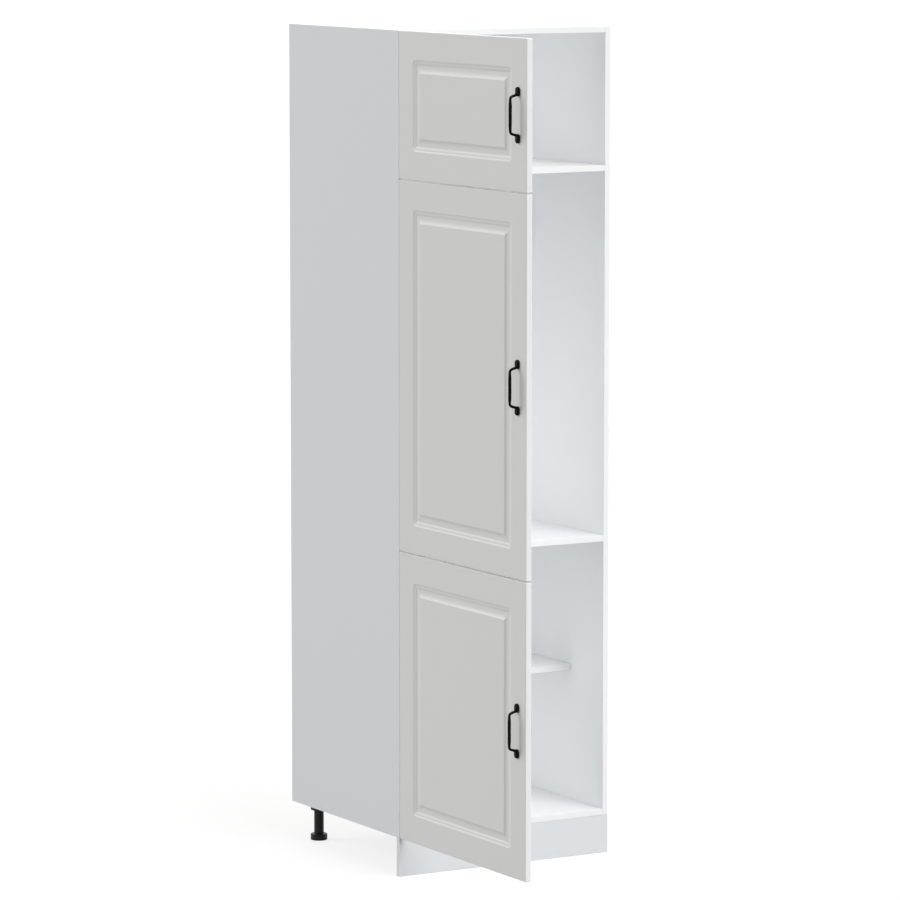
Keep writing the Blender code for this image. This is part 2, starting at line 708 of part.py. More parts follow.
def hinge_cup(name, height, parent):
    """A pressed cup in its bore, with a round rim, a wing for two screws and the hinge pin."""
    place = (cup_centre(), 0, height)
    outer = CUP_BORE_RADIUS - FIT_GAP
    inner = outer - CUP_WALL
    seat = DOOR_BACK + FIT_GAP
    rim = seat + CUP_FLANGE
    floor = DOOR_BACK - CUP_BORE_DEPTH + FIT_GAP
    profile = [(0, floor), (outer, floor), (outer, seat), (CUP_FLANGE_RADIUS, seat),
               (CUP_FLANGE_RADIUS, rim), (0, rim)]
    made = piece(name, turned("y", profile, CUP_SIDES), nickel_steel(), parent, place, smooth=True)
    half_width = CUP_WING_WIDTH / 2
    half_length = CUP_WING_LENGTH / 2
    outline = rectangle((CUP_WING_SHIFT - half_width, -half_length),
                        (CUP_WING_SHIFT + half_width, half_length), CUP_WING_CORNER)
    wing_seat = seat + (CUP_FLANGE - CUP_WING) / 2
    wing_form = prism(outline, "y", wing_seat, wing_seat + CUP_WING)
    combine(made, piece(f"{name}_wing_tool", wing_form, nickel_steel(), parent, place), "UNION")
    hollow = [(0, rim + OVERRUN), (inner, rim + OVERRUN), (inner, floor + CUP_WALL), (0, floor + CUP_WALL)]
    well_form = turned("y", hollow, CUP_SIDES)
    combine(made, piece(f"{name}_well_tool", well_form, nickel_steel(), parent, place), "DIFFERENCE")
    combine(made, cup_pin(f"{name}_pin_tool", inner, parent, place), "UNION")
    return made


def hinge_plate(name, height, parent):
    """A cross plate on the side panel: a wing for its screws and a ridge that carries the arm."""
    place = (-INNER_HALF + FIT_GAP, PLATE_CENTRE_DEPTH, height)
    ridge_length = PLATE_RIDGE_LENGTH / 2
    ridge_width = PLATE_RIDGE_WIDTH / 2
    ridge_outline = rectangle((-ridge_length, -ridge_width), (ridge_length, ridge_width), PLATE_RIDGE_CORNER)
    made = piece(name, prism(ridge_outline, "x", 0, PLATE_RIDGE_HEIGHT), nickel_steel(), parent, place)
    wing_width = PLATE_WING_WIDTH / 2
    wing_length = PLATE_WING_LENGTH / 2
    wing_outline = rectangle((-wing_width, -wing_length), (wing_width, wing_length), PLATE_WING_CORNER)
    wing_form = prism(wing_outline, "x", 0, PLATE_WING)
    combine(made, piece(f"{name}_wing_tool", wing_form, nickel_steel(), parent, place), "UNION")
    return made


def arm_channel():
    """The channel that straddles the plate's ridge, open towards the side panel."""
    seat = -INNER_HALF + FIT_GAP
    inner_top = seat + PLATE_RIDGE_HEIGHT + FIT_GAP
    outer_top = inner_top + ARM_WALL
    skirt = seat + PLATE_WING + FIT_GAP
    inner_half = PLATE_RIDGE_WIDTH / 2 + FIT_GAP
    outer_half = inner_half + ARM_WALL
    outline = [(skirt, -outer_half), (outer_top, -outer_half), (outer_top, outer_half), (skirt, outer_half),
               (skirt, inner_half), (inner_top, inner_half), (inner_top, -inner_half), (skirt, -inner_half)]
    return prism(outline, "y", ARM_START_DEPTH, ARM_START_DEPTH + ARM_LENGTH)


def neck_centreline():
    """The neck's middle line in plan, from the channel to the hinge axis."""
    seat = -INNER_HALF + FIT_GAP
    channel_top = seat + PLATE_RIDGE_HEIGHT + FIT_GAP + ARM_WALL / 2
    standoff = -INNER_HALF + ARM_STANDOFF
    slope_start = ARM_START_DEPTH
    slope_end = slope_start - (channel_top - standoff)
    corners = [(channel_top, ARM_START_DEPTH + ARM_STANDOFF), (channel_top, slope_start),
               (standoff, slope_end), (standoff, PIVOT_Y), (PIVOT_X, PIVOT_Y)]
    bend = ARM_BEND_RADIUS
    return round_corners(corners, [0, bend, bend, bend, 0], ARC_STEPS, closed=False)


def arm_neck():
    """The neck as a bent strip of even thickness, seen in plan and drawn up its width."""
    line = neck_centreline()
    half = ARM_NECK_WALL / 2
    left_side = []
    right_side = []
    for index, place in enumerate(line):
        before = line[max(index - 1, 0)]
        after = line[min(index + 1, len(line) - 1)]
        run = (after - before).normalized()
        offset = Vector((-run.y, run.x)) * half
        left_side.append(place + offset)
        right_side.append(place - offset)
    outline = left_side + list(reversed(right_side))
    return prism(outline, "z", -ARM_NECK_WIDTH / 2, ARM_NECK_WIDTH / 2)


def round_bar(radius, half_length):
    """A round bar on the hinge axis."""
    profile = [(0, -half_length), (radius, -half_length), (radius, half_length), (0, half_length)]
    return turned("z", profile, PIN_SIDES, (PIVOT_X, PIVOT_Y))


def hinge_arm(name, height, parent):
    """The arm: its channel on the plate, and the neck rolled round the pin in the cup."""
    place = (0, 0, height)
    made = piece(name, arm_channel(), nickel_steel(), parent, place)
    combine(made, piece(f"{name}_neck_tool", arm_neck(), nickel_steel(), parent, place), "UNION")
    knuckle = round_bar(ARM_KNUCKLE_RADIUS, ARM_KNUCKLE_LENGTH / 2)
    combine(made, piece(f"{name}_knuckle_tool", knuckle, nickel_steel(), parent, place), "UNION")
    bore = round_bar(CUP_PIN_RADIUS + FIT_GAP, ARM_KNUCKLE_LENGTH / 2 + OVERRUN)
    combine(made, piece(f"{name}_bore_tool", bore, nickel_steel(), parent, place), "DIFFERENCE")
    return made


def hung_door(label, low, high, carcass):
    """A door with its handle and cups on the hinge axis, and the arms and plates that carry it."""
    axis = guide(f"hinge_axis_{label}", (PIVOT_X, PIVOT_Y, 0), carcass, DOOR_OPEN_ANGLE)
    door(f"door_{label}", low, high, axis)
    handle(f"handle_{label}", low, high, axis)
    for end, height in hinge_heights(low, high).items():
        hinge_cup(f"hinge_cup_{label}_{end}", height, axis)
        hinge_arm(f"hinge_arm_{label}_{end}", height, carcass)
        hinge_plate(f"hinge_plate_{label}_{end}", height, carcass)


carcass_place = (-(OPEN_HANDLE_FRONT + HALF_WIDTH) / 2, (OPEN_DOOR_REACH - CABINET_DEPTH) / 2, 0)
carcass_guide = guide("carcass_guide", carcass_place, None)
side_panel("side_panel_left", -1, carcass_guide)
side_panel("side_panel_right", 1, carcass_guide)
fixed_boards(carcass_guide)
loose_shelf(carcass_guide)
cabinet_back(carcass_guide)
legs_and_feet(carcass_guide)
plinth(carcass_guide)
plinth_clips(carcass_guide)
for door_label, (door_low, door_high) in door_spans().items():
    hung_door(door_label, door_low, door_high, carcass_guide)
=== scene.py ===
"""Looks of the tall kitchen cabinet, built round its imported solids."""

import json
import math

import bmesh
import bpy
from mathutils import Matrix, Vector

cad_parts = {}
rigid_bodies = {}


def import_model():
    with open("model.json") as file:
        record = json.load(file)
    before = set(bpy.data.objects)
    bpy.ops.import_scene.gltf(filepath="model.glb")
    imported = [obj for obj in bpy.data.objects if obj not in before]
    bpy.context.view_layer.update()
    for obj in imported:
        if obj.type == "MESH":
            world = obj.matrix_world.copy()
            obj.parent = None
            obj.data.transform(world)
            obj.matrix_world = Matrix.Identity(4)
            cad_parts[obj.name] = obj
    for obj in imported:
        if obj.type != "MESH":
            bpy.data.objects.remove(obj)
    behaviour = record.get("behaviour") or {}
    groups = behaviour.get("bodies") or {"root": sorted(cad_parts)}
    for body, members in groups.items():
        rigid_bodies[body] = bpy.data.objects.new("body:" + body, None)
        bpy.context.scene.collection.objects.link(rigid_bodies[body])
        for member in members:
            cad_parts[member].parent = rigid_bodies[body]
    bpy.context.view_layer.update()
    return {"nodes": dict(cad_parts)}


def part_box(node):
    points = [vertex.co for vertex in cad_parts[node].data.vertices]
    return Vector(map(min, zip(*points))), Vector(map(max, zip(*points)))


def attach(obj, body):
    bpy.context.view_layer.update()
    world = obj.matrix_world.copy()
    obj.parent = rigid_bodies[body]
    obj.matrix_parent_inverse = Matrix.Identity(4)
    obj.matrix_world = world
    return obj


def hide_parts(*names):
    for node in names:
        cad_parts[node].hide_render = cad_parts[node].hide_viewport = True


for leftover in list(bpy.data.objects):
    bpy.data.objects.remove(leftover, do_unlink=True)
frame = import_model()
cabinet = frame["nodes"]

# Carcass boards: 15 mm chipboard faced on both sides with white melamine paper. The front edges carry a thin
# plastic band, the rear edges are left as sawn. Dowels and cams tie the level boards to the two side panels.


def node(tree, kind, values=None, **settings):
    """A shader node with its settings; a value that is a socket is linked in."""
    made = tree.nodes.new(kind)
    for key, setting in settings.items():
        setattr(made, key, setting)
    for key, value in (values or {}).items():
        if isinstance(value, bpy.types.NodeSocket):
            tree.links.new(value, made.inputs[key])
        else:
            made.inputs[key].default_value = value
    return made


def calc(tree, operation, *values, clamp=False):
    """The result of one step of arithmetic on numbers or sockets."""
    step = node(tree, "ShaderNodeMath", dict(enumerate(values)), operation=operation, use_clamp=clamp)
    return step.outputs[0]


def joined(tree, operation, first, second):
    """The result of one step of arithmetic on two places or directions."""
    return node(tree, "ShaderNodeVectorMath", {0: first, 1: second}, operation=operation).outputs[0]


def mixed(tree, share, first, second):
    """A colour between two others; the share is a number or a socket."""
    made = node(tree, "ShaderNodeMix", {0: share, 6: first, 7: second}, data_type="RGBA")
    return made.outputs[2]


def scaled_colour(tree, colour, factor):
    """A colour made lighter or darker by a factor."""
    made = node(tree, "ShaderNodeMix", {0: 1.0, 6: colour}, data_type="RGBA", blend_type="MULTIPLY")
    grey = node(tree, "ShaderNodeCombineColor", {0: factor, 1: factor, 2: factor})
    tree.links.new(grey.outputs[0], made.inputs[7])
    return made.outputs[2]


def shader_group(name, inputs, outputs):
    """An empty node group with its named sockets, and its own input and output nodes."""
    group = bpy.data.node_groups.new(name, "ShaderNodeTree")
    for label, (kind, value) in inputs.items():
        group.interface.new_socket(label, in_out="INPUT", socket_type=kind).default_value = value
    for label, kind in outputs.items():
        group.interface.new_socket(label, in_out="OUTPUT", socket_type=kind)
    given = group.nodes.new("NodeGroupInput").outputs
    result = group.nodes.new("NodeGroupOutput").inputs
    return group, given, result


def use(tree, group, **values):
    """A group placed in a material, its sockets named with spaces as underscores."""
    return node(tree, "ShaderNodeGroup", {key.replace("_", " "): value for key, value in values.items()},
                node_tree=group).outputs


def place_in_object(tree):
    """The point that is shaded, in metres in the cabinet's frame, which moves with the piece."""
    return node(tree, "ShaderNodeTexCoord").outputs["Object"]


NUMBER, COLOUR, VECTOR = "NodeSocketFloat", "NodeSocketColor", "NodeSocketVector"


def pearl_print_group():
    """The fine pebbled skin and faint cloudiness of printed or painted paper and foil."""
    group, given, result = shader_group(
        "pearl_print", {"Pebble": (NUMBER, 900.0), "Cloud": (NUMBER, 3.0), "Depth": (NUMBER, 0.02)},
        {"Shade": NUMBER, "Height": NUMBER, "Patch": NUMBER})
    place = place_in_object(group)
    pebbles = node(group, "ShaderNodeTexVoronoi", {"Vector": place, "Scale": given["Pebble"],
                                                   "Randomness": 0.9}, feature="SMOOTH_F1")
    cloud = node(group, "ShaderNodeTexNoise", {"Vector": place, "Scale": given["Cloud"], "Detail": 3.0,
                                               "Roughness": 0.5})
    swing = calc(group, "SUBTRACT", cloud.outputs["Fac"], 0.5)
    group.links.new(calc(group, "MULTIPLY_ADD", swing, given["Depth"], 1.0), result["Shade"])
    group.links.new(pebbles.outputs["Distance"], result["Height"])
    group.links.new(cloud.outputs["Fac"], result["Patch"])
    return group


def edge_reach_group():
    """How far a point of a board's surface lies from the board's nearest edge."""
    group, given, result = shader_group(
        "edge_reach", {"Low": (VECTOR, (0, 0, 0)), "High": (VECTOR, (1, 1, 1))}, {"Reach": NUMBER})
    place = place_in_object(group)
    from_low = joined(group, "SUBTRACT", place, given["Low"])
    from_high = joined(group, "SUBTRACT", given["High"], place)
    nearest = joined(group, "MINIMUM", from_low, from_high)
    across, deep, up = node(group, "ShaderNodeSeparateXYZ", {0: nearest}).outputs
    least = calc(group, "MINIMUM", across, deep)
    most = calc(group, "MAXIMUM", across, deep)
    group.links.new(calc(group, "MAXIMUM", least, calc(group, "MINIMUM", most, up)), result["Reach"])
    return group


def sawn_chipboard_group():
    """Raw chipboard as the saw leaves it: flattened wood chips in warm tones, and small pores."""
    group, given, result = shader_group(
        "sawn_chipboard", {"Chip": (NUMBER, 420.0)}, {"Colour": COLOUR, "Height": NUMBER})
    place = place_in_object(group)
    chips = node(group, "ShaderNodeTexVoronoi", {"Vector": place, "Scale": given["Chip"],
                                                 "Randomness": 1.0})
    tone = node(group, "ShaderNodeSeparateColor", {0: chips.outputs["Color"]}).outputs[0]
    pores = node(group, "ShaderNodeTexNoise", {"Vector": place, "Scale": 700.0, "Detail": 4.0})
    light_chip, dark_chip, pore = (0.55, 0.40, 0.25, 1), (0.33, 0.21, 0.11, 1), (0.10, 0.06, 0.03, 1)
    colour = mixed(group, tone, dark_chip, light_chip)
    over_most = calc(group, "SUBTRACT", pores.outputs["Fac"], 0.62, clamp=True)
    open_pore = calc(group, "MULTIPLY", over_most, 6.0, clamp=True)
    group.links.new(mixed(group, open_pore, colour, pore), result["Colour"])
    group.links.new(calc(group, "SUBTRACT", chips.outputs["Distance"], open_pore), result["Height"])
    return group


pearl_print = pearl_print_group()
edge_reach = edge_reach_group()
sawn_chipboard = sawn_chipboard_group()


def material_for(name):
    """A new material with its tree and Principled shader."""
    made = bpy.data.materials.new(name)
    made.use_nodes = True
    return made, made.node_tree, made.node_tree.nodes["Principled BSDF"]


def feed(tree, shader, colour, roughness, height, relief):
    """Links a colour, a roughness and a bump of a given relief in metres to the shader."""
    tree.links.new(colour, shader.inputs["Base Color"])
    tree.links.new(roughness, shader.inputs["Roughness"])
    bump = node(tree, "ShaderNodeBump", {"Height": height, "Distance": relief, "Strength": 1.0})
    tree.links.new(bump.outputs["Normal"], shader.inputs["Normal"])


MELAMINE_WHITE = (0.852, 0.869, 0.885, 1)
# A paler copy of the melamine white for the level boards, painted lighter for the light that falls on their tops.
LIT_SHELF_WHITE = (0.890, 0.893, 0.894, 1)
BAND_WHITE = (0.876, 0.888, 0.896, 1)
GLUE_LINE = (0.62, 0.62, 0.61, 1)
BAND_THICKNESS = 0.0008
SAWN_SKIN = 0.0004


def melamine_board(name, face_white, raw_rear=True):
    """White melamine for one board, with its front band, a faint darker line along every edge and raw rear edge.
    """
    low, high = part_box(name)
    made, tree, shader = material_for(f"melamine_{name}")
    skin = use(tree, pearl_print, Pebble=1100.0, Cloud=2.2, Depth=0.02)
    colour = scaled_colour(tree, face_white, skin["Shade"])
    reach = use(tree, edge_reach, Low=low, High=high)["Reach"]
    depth = node(tree, "ShaderNodeSeparateXYZ", {0: place_in_object(tree)}).outputs[1]
    behind_front = calc(tree, "SUBTRACT", depth, low.y)
    in_band = calc(tree, "LESS_THAN", behind_front, BAND_THICKNESS)
    colour = mixed(tree, in_band, colour, BAND_WHITE)
    off_joint = calc(tree, "ABSOLUTE", calc(tree, "SUBTRACT", behind_front, BAND_THICKNESS))
    at_joint = calc(tree, "MULTIPLY", calc(tree, "LESS_THAN", off_joint, BAND_THICKNESS / 3), 0.45)
    colour = mixed(tree, at_joint, colour, GLUE_LINE)
    # A faint darker line within half a band's thickness of every edge.
    at_edge = calc(tree, "MULTIPLY", calc(tree, "LESS_THAN", reach, BAND_THICKNESS / 2), 0.06)
    colour = mixed(tree, at_edge, colour, GLUE_LINE)
    height = skin["Height"]
    rough = calc(tree, "MULTIPLY_ADD", skin["Patch"], 0.10, 0.38)
    if raw_rear:
        sawn = use(tree, sawn_chipboard, Chip=420.0)
        raw = calc(tree, "GREATER_THAN", depth, high.y - SAWN_SKIN)
        colour = mixed(tree, raw, colour, sawn["Colour"])
        height = mixed(tree, raw, height, sawn["Height"])
        rough = calc(tree, "MAXIMUM", rough, calc(tree, "MULTIPLY", raw, 0.85))
    feed(tree, shader, colour, rough, height, relief=0.00002)
    shader.inputs["Specular IOR Level"].default_value = 0.35
    return made


def dress(name, material):
    """Gives a solid of the cabinet its finish."""
    cabinet[name].material_slots[0].material = material


for board in ("side_panel_left", "side_panel_right"):
    dress(board, melamine_board(board, MELAMINE_WHITE))
# The level boards take the paler copy of the white, a painted brightening of their lit tops.
for board in ("top_panel", "upper_shelf", "middle_shelf", "bottom_panel"):
    dress(board, melamine_board(board, LIT_SHELF_WHITE))

# Cover caps: low white plastic domes pressed over the cams, two at each end of a fixed board's underside, where
# the cams pull the board against the side panels.


def spun(profile, sides):
    """A round form from (radius, height) pairs, its axis up; a radius of zero makes a tip."""
    form = bmesh.new()
    loops = []
    for radius, height in profile:
        count = sides if radius > 0 else 1
        angles = [math.tau * side / sides for side in range(count)]
        loops.append([form.verts.new((radius * math.cos(angle), radius * math.sin(angle), height))
                      for angle in angles])
    for lower, upper in zip(loops, loops[1:]):
        for side in range(sides):
            following = (side + 1) % sides
            corners = [lower[side % len(lower)], lower[following % len(lower)],
                       upper[following % len(upper)], upper[side % len(upper)]]
            form.faces.new(list(dict.fromkeys(corners)))
    return form


def scaled(shares, radius, rise):
    """(radius, height) pairs from shares of a form's radius and rise."""
    return [(radius * across, rise * up) for across, up in shares]


def turned_to(direction):
    """The turn that points a form's own up axis in a direction."""
    return Vector(direction).to_track_quat("Z", "Y").to_matrix().to_4x4()


def copies(name, pattern, places, direction, material, body):
    """One piece made of a small form repeated at several places, facing one way."""
    form = bmesh.new()
    for place in places:
        earlier = len(form.verts)
        form.from_mesh(pattern)
        form.verts.ensure_lookup_table()
        bmesh.ops.transform(form, matrix=Matrix.Translation(place) @ turned_to(direction),
                            verts=form.verts[earlier:])
    return shown(name, form, material, body)


def shown(name, form, material, body, sharp=math.radians(35)):
    """Makes a form a piece of the object that rides on a body."""
    bmesh.ops.recalc_face_normals(form, faces=form.faces)
    mesh = bpy.data.meshes.new(name)
    form.to_mesh(mesh)
    form.free()
    mesh.shade_smooth()
    mesh.set_sharp_from_angle(angle=sharp)
    mesh.materials.append(material)
    made = bpy.data.objects.new(name, mesh)
    bpy.context.scene.collection.objects.link(made)
    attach(made, body)
    return made


def pattern_mesh(name, form):
    """A small form kept as a mesh, to be repeated."""
    bmesh.ops.recalc_face_normals(form, faces=form.faces)
    mesh = bpy.data.meshes.new(name)
    form.to_mesh(mesh)
    form.free()
    return mesh


def moulded_plastic(name, colour, rough, grain):
    """Injection-moulded plastic with a fine spark-eroded grain and slight flow clouds."""
    made, tree, shader = material_for(name)
    skin = use(tree, pearl_print, Pebble=grain, Cloud=24.0, Depth=0.10)
    feed(tree, shader, scaled_colour(tree, colour, skin["Shade"]),
         calc(tree, "MULTIPLY_ADD", skin["Patch"], 0.16, rough - 0.08), skin["Height"],
         relief=0.00003)
    return made


CAP_RADIUS = 0.0088
CAP_RISE = 0.0013
CAP_FROM_END = 0.034
CAP_FROM_EDGE = 0.060
white_plastic = moulded_plastic("white_moulded_plastic", (0.80, 0.80, 0.78, 1), rough=0.45, grain=1500.0)
cap_shares = [(0, 0), (1, 0), (1, 0.35), (0.93, 0.7), (0.80, 0.9), (0.45, 1), (0, 1)]
cap = pattern_mesh("cover_cap", spun(scaled(cap_shares, CAP_RADIUS, CAP_RISE), sides=32))
for board in ("top_panel", "upper_shelf", "middle_shelf"):
    low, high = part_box(board)
    cap_places = [Vector((x, y, low.z)) for x in (low.x + CAP_FROM_END, high.x - CAP_FROM_END)
                  for y in (low.y + CAP_FROM_EDGE, high.y - CAP_FROM_EDGE)]
    copies(f"cover_caps_{board}", cap, cap_places, (0, 0, -1), white_plastic,
           "carcass")

# Loose shelf: a shorter board of the same melamine chipboard, banded on all its edges. It rests on four
# nickel-plated pins that push into bores in the side panels.


def plated_steel(name, colour, rough, streak):
    """Nickel plate over pressed steel, with faint clouds and fine rolling marks along its length."""
    made, tree, shader = material_for(name)
    place = place_in_object(tree)
    stretched = node(tree, "ShaderNodeMapping", {0: place, "Scale": (900.0, 900.0, 60.0)})
    marks = node(tree, "ShaderNodeTexNoise", {"Vector": stretched.outputs[0], "Scale": 1.0,
                                              "Detail": 2.0})
    skin = use(tree, pearl_print, Pebble=500.0, Cloud=70.0, Depth=0.16)
    shade = calc(tree, "MULTIPLY_ADD", marks.outputs["Fac"], streak, skin["Shade"])
    feed(tree, shader, scaled_colour(tree, colour, shade),
         calc(tree, "MULTIPLY_ADD", skin["Patch"], 0.18, rough - 0.06), marks.outputs["Fac"],
         relief=0.00001)
    shader.inputs["Metallic"].default_value = 1.0
    return made


nickel = plated_steel("nickel_plate", (0.70, 0.68, 0.64, 1), rough=0.26, streak=0.06)
# The loose shelf takes the same paler white, painted lighter for the light on its top.
dress("adjustable_shelf", melamine_board("adjustable_shelf", LIT_SHELF_WHITE, raw_rear=False))
for name in cabinet:
    if name.startswith("shelf_pin"):
        dress(name, nickel)

# Back: three hardboard sheets, 3 mm thick, painted white inside and bare brown behind, in rebates of the side
# panels. Two plastic strips of H section join them, and small nails hold them to the boards.


PAINT_DEPTH = 0.0003


def hardboard(name, sheet):
    """White paint on the inner face of a sheet, bare fibre on its rear face and edges."""
    low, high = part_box(sheet)
    made, tree, shader = material_for(name)
    place = place_in_object(tree)
    depth = node(tree, "ShaderNodeSeparateXYZ", {0: place}).outputs[1]
    bare = calc(tree, "GREATER_THAN", depth, low.y + PAINT_DEPTH)
    skin = use(tree, pearl_print, Pebble=800.0, Cloud=2.6, Depth=0.03)
    fibres = node(tree, "ShaderNodeTexNoise", {"Vector": place, "Scale": 260.0, "Detail": 6.0,
                                               "Roughness": 0.7}).outputs["Fac"]
    wires = [node(tree, "ShaderNodeTexWave", {"Vector": place, "Scale": 210.0, "Distortion": 0.6},
                  bands_direction=direction).outputs["Fac"] for direction in "ZX"]
    screen = calc(tree, "MULTIPLY", *wires)
    brown = mixed(tree, fibres, (0.17, 0.095, 0.045, 1), (0.40, 0.26, 0.15, 1))
    brown = scaled_colour(tree, brown, calc(tree, "MULTIPLY_ADD", screen, 0.12, 0.9))
    white = scaled_colour(tree, (0.856, 0.859, 0.861, 1), skin["Shade"])
    colour = mixed(tree, bare, white, brown)
    height = calc(tree, "ADD", calc(tree, "MULTIPLY", bare, screen), fibres)
    feed(tree, shader, colour, calc(tree, "MULTIPLY_ADD", bare, 0.35, 0.45), height, relief=0.00004)
    return made


sheets = ("back_panel_lower", "back_panel_middle", "back_panel_upper")
for sheet in sheets:
    dress(sheet, hardboard(f"hardboard_{sheet}", sheet))
for name in ("back_strip_lower", "back_strip_upper"):
    dress(name, white_plastic)

NAIL_RADIUS = 0.0016
NAIL_RISE = 0.0005
NAIL_PITCH = 0.14
NAIL_INSET = 0.0045
NAIL_FROM_END = 0.008
nail_shares = [(0, 0), (1, 0), (0.92, 0.6), (0.6, 0.95), (0, 1)]
nail = pattern_mesh("nail_head", spun(scaled(nail_shares, NAIL_RADIUS, NAIL_RISE), sides=14))


def row(start, end, pitch):
    """Evenly spaced numbers from start to end, about a pitch apart."""
    gaps = max(round((end - start) / pitch), 1)
    return [start + (end - start) * step / gaps for step in range(gaps + 1)]


for sheet in sheets:
    low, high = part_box(sheet)
    left, right = low.x + NAIL_INSET, high.x - NAIL_INSET
    bottom, top = low.z + NAIL_FROM_END, high.z - NAIL_FROM_END
    places = [Vector((x, high.y, z)) for x in (left, right) for z in row(bottom, top, NAIL_PITCH)]
    if sheet == "back_panel_lower":
        places += [Vector((x, high.y, bottom)) for x in row(left, right, NAIL_PITCH)[1:-1]]
    if sheet == "back_panel_upper":
        places += [Vector((x, high.y, top)) for x in row(left, right, NAIL_PITCH)[1:-1]]
    copies(f"nails_{sheet}", nail, places, (0, 1, 0), nickel, "carcass")

# Legs and feet: black polypropylene tubes with a collar and a screwed plate under the bottom panel. Each has a
# drum-shaped foot on a spindle, turned by hand to level the cabinet.

black_plastic = moulded_plastic("black_moulded_plastic", (0.0105, 0.0105, 0.011, 1), rough=0.46,
                                grain=1300.0)
black_shader = black_plastic.node_tree.nodes["Principled BSDF"]
black_shader.inputs["Specular IOR Level"].default_value = 0.2
for name in cabinet:
    if name.startswith(("leg_", "foot_", "plinth_clip")):
        dress(name, black_plastic)

# Plinth: a chipboard board in white paper foil, painted darker and bluer than the panels' white for the shade it
# stands in under the cabinet, its ends banded like the panels. Two spring clips behind it snap onto the front
# legs.

# The foil's white is painted darker and bluer than the panels' white, a painted shade for the plinth's place low
# under the cabinet.
PLINTH_SHADED_WHITE = (0.712, 0.741, 0.765, 1)


def plinth_paper():
    """White paper foil painted darker for the shade under the cabinet, a little scuffed near the floor, and the
    bands on the board's ends.
    """
    low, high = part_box("plinth")
    made, tree, shader = material_for("plinth_paper")
    skin = use(tree, pearl_print, Pebble=1100.0, Cloud=3.0, Depth=0.02)
    place = place_in_object(tree)
    across, _, height = node(tree, "ShaderNodeSeparateXYZ", {0: place}).outputs
    off_middle = calc(tree, "ABSOLUTE", calc(tree, "SUBTRACT", across, (low.x + high.x) / 2))
    at_end = calc(tree, "GREATER_THAN", off_middle, (high.x - low.x) / 2 - BAND_THICKNESS / 2)
    flattened = node(tree, "ShaderNodeMapping", {0: place, "Scale": (9.0, 9.0, 260.0)}).outputs[0]
    scratches = node(tree, "ShaderNodeTexNoise", {"Vector": flattened, "Scale": 1.0, "Detail": 3.0})
    from_floor = calc(tree, "MULTIPLY", height, 60.0, clamp=True)
    low_down = calc(tree, "SUBTRACT", 1.0, from_floor, clamp=True)
    scratched = calc(tree, "GREATER_THAN", scratches.outputs["Fac"], 0.60)
    scuffed = calc(tree, "MULTIPLY", low_down, scratched)
    colour = scaled_colour(tree, mixed(tree, at_end, PLINTH_SHADED_WHITE, MELAMINE_WHITE), skin["Shade"])
    colour = mixed(tree, calc(tree, "MULTIPLY", scuffed, 0.08), colour, (0.45, 0.44, 0.42, 1))
    feed(tree, shader, colour, calc(tree, "MULTIPLY_ADD", skin["Patch"], 0.10, 0.40), skin["Height"],
         relief=0.00002)
    return made


dress("plinth", plinth_paper())

# Doors: fibreboard, 15 mm thick, with a routed frame and raised field on the outer face. A white foil is pressed
# over the face and round the edges; the inner face is melamine, and the foil ends on it in a fine line.

DOOR_EDGE_RADIUS = 0.0015
DOOR_CORNER_RADIUS = 0.0020
FRAME_WIDTH = 0.068
FRAME_CORNER_RADIUS = 0.0135
SHARPEST_CORNER = 0.0005
CUP_BORE_RADIUS = 0.0175
CUP_BORE_DEPTH = 0.0145
BORE_OVERRUN = 0.0003
FOIL_WRAP = 0.004
FOIL_END_LINE = 0.00025
FACE_SKIN = 0.0002
FOIL_WHITE = (0.832, 0.831, 0.811, 1)
# A paler, bluer copy of the foil white for the upright edges, a painted tint of the light on those faces.
EDGE_LIT_WHITE = (0.848, 0.866, 0.868, 1)
# From the frame inwards: two stepped beads, the flat floor and the hollow bevel up to the field, each corner as
# its place, its depth and its rounding.
moulding_steps = [(0.0000, 0.00000, 0.0003), (0.0046, 0.00168, 0.0006), (0.0068, 0.00176, 0.0006),
                  (0.0092, 0.00220, 0.0012), (0.0128, 0.00365, 0.0010), (0.0198, 0.00365, 0.0030),
                  (0.0243, 0.00320, 0.0020), (0.0275, 0.00240, 0.0020), (0.0318, 0.00027, 0.0008),
                  (0.0326, 0.00000, 0.0003)]


def softened(steps, parts=3):
    """Points (place, depth) along a cut, with each of its corners rounded a little."""
    line = []
    for index, (place, depth, rounding) in enumerate(steps):
        here = Vector((place, depth))
        before = Vector(steps[index - 1][:2]) if index else here - Vector((1, 0))
        after = Vector(steps[index + 1][:2]) if index + 1 < len(steps) else here + Vector((1, 0))
        back, ahead = before - here, after - here
        cut = min(rounding, back.length / 2.2, ahead.length / 2.2)
        start, end = here + back.normalized() * cut, here + ahead.normalized() * cut
        for part in range(parts + 1):
            share = part / parts
            line.append(start.lerp(here, share).lerp(here.lerp(end, share), share))
    return line


def corner_ring(low, high, radius, steps=7):
    """A rectangle of (across, up) with round corners, each of the same number of points."""
    ring = []
    corners = [(low[0], low[1], 1, 1, 180), (high[0], low[1], -1, 1, 270),
               (high[0], high[1], -1, -1, 0), (low[0], high[1], 1, -1, 90)]
    for across, up, side, rise, start in corners:
        centre = (across + side * radius, up + rise * radius)
        for step in range(steps + 1):
            angle = math.radians(start + 90 * step / steps)
            ring.append((centre[0] + radius * math.cos(angle),
                         centre[1] + radius * math.sin(angle)))
    return ring


def skinned(form, loops):
    """Faces between rings of points, each joined to the next, and a face over each end."""
    for lower, upper in zip(loops, loops[1:]):
        for side in range(len(lower)):
            following = (side + 1) % len(lower)
            form.faces.new((lower[side], lower[following], upper[following], upper[side]))
    form.faces.new(loops[0])
    form.faces.new(loops[-1])


